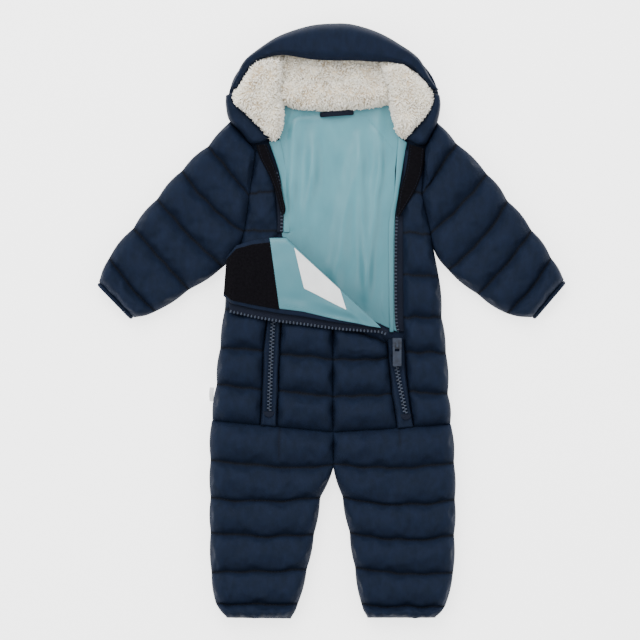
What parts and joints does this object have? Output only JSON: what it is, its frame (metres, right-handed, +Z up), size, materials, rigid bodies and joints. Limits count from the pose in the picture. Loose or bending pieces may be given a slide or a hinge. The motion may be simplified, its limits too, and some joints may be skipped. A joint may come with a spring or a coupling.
{
  "type": "baby snowsuit",
  "caption": "Hooded quilted snowsuit laid flat on its back, front half unzipped and folded over to show the lining, pile-lined hood.",
  "frame": {"origin": "middle of the footprint, on the surface it lies on", "axes": "+X to the wearer's left, +Y from the hems to the hood, +Z up from the surface"},
  "size_m": [0.5268, 0.667, 0.0523],
  "materials": {
    "shell": "dark navy woven nylon, soft satin sheen, quilted",
    "lining": "pale teal smooth woven lining",
    "fleece": "black brushed microfleece",
    "pile": "cream sherpa pile",
    "tape": "navy woven zip tape",
    "coil": "navy moulded zip teeth",
    "puller": "navy lacquered slider and pull tab",
    "patch": "white satin label cloth"
  },
  "bodies": {
    "garment": {"back_body": "shell", "back_leg_r": "shell", "back_leg_l": "shell", "back_sleeve_r": "shell", "back_sleeve_l": "shell", "hood_back": "shell", "front_leg_r": "shell", "front_leg_l": "shell", "front_sleeve_r": "shell", "front_sleeve_l": "shell", "front_side_r": "shell", "front_side_l": "shell", "front_centre_r": "shell", "front_centre_l": "shell", "cuff_binding_r": "shell", "cuff_binding_l": "shell", "hood_brim": "shell", "collar_tab_r": "shell", "collar_tab_l": "shell", "flap_shell": "shell", "lining_back": "lining", "facing_r": "lining", "facing_l": "lining", "flap_lining": "lining", "guard_r": "fleece", "guard_l": "fleece", "flap_fleece": "fleece", "hood_pile_back": "pile", "hood_pile_neck": "pile", "hood_pile_r": "pile", "hood_pile_l": "pile", "placket_r": "tape", "placket_l": "tape", "zip_edge_r": "tape", "zip_edge_l": "tape", "flap_zip": "tape", "zip_end_r": "tape", "zip_end_l": "tape", "hanging_loop": "tape", "zip_chain_r": "coil", "zip_chain_l": "coil", "slider_l": "puller", "slider_r": "puller", "flap_patch": "patch", "side_tab": "patch"},
    "pull_tab": {"pull_tab_l": "puller"}
  },
  "joints": [
    {"name": "pull_tab_hinge", "type": "hinge", "parent": "garment", "child": "pull_tab", "pos_m": [0.07339, -0.0271, 0.0277], "axis": [-1, 0, 0], "range_deg": [0, 150]}
  ]
}
